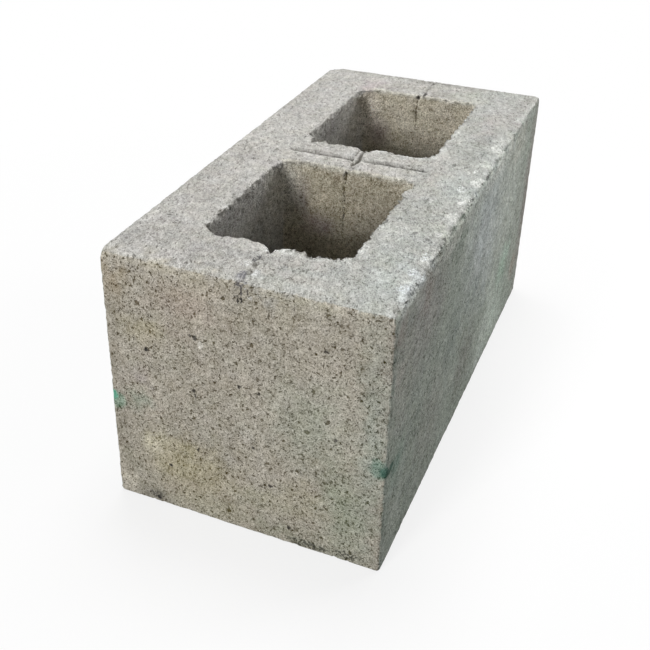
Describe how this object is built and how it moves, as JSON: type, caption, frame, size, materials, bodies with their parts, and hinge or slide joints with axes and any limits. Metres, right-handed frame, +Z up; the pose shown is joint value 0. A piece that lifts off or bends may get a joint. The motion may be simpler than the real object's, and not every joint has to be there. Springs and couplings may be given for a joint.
{
  "type": "hollow concrete block",
  "caption": "Hollow concrete building block with tapered open cells through its height, thick shells and webs, and a pressed groove across its middle web.",
  "frame": {"origin": "centre of the underside, on the level the block stands on", "axes": "+X along the block's length, +Y across it, +Z up through the open cells"},
  "size_m": [0.44, 0.215, 0.215],
  "materials": {
    "concrete": "matte"
  },
  "bodies": {
    "root": {"block": "concrete"}
  },
  "joints": []
}
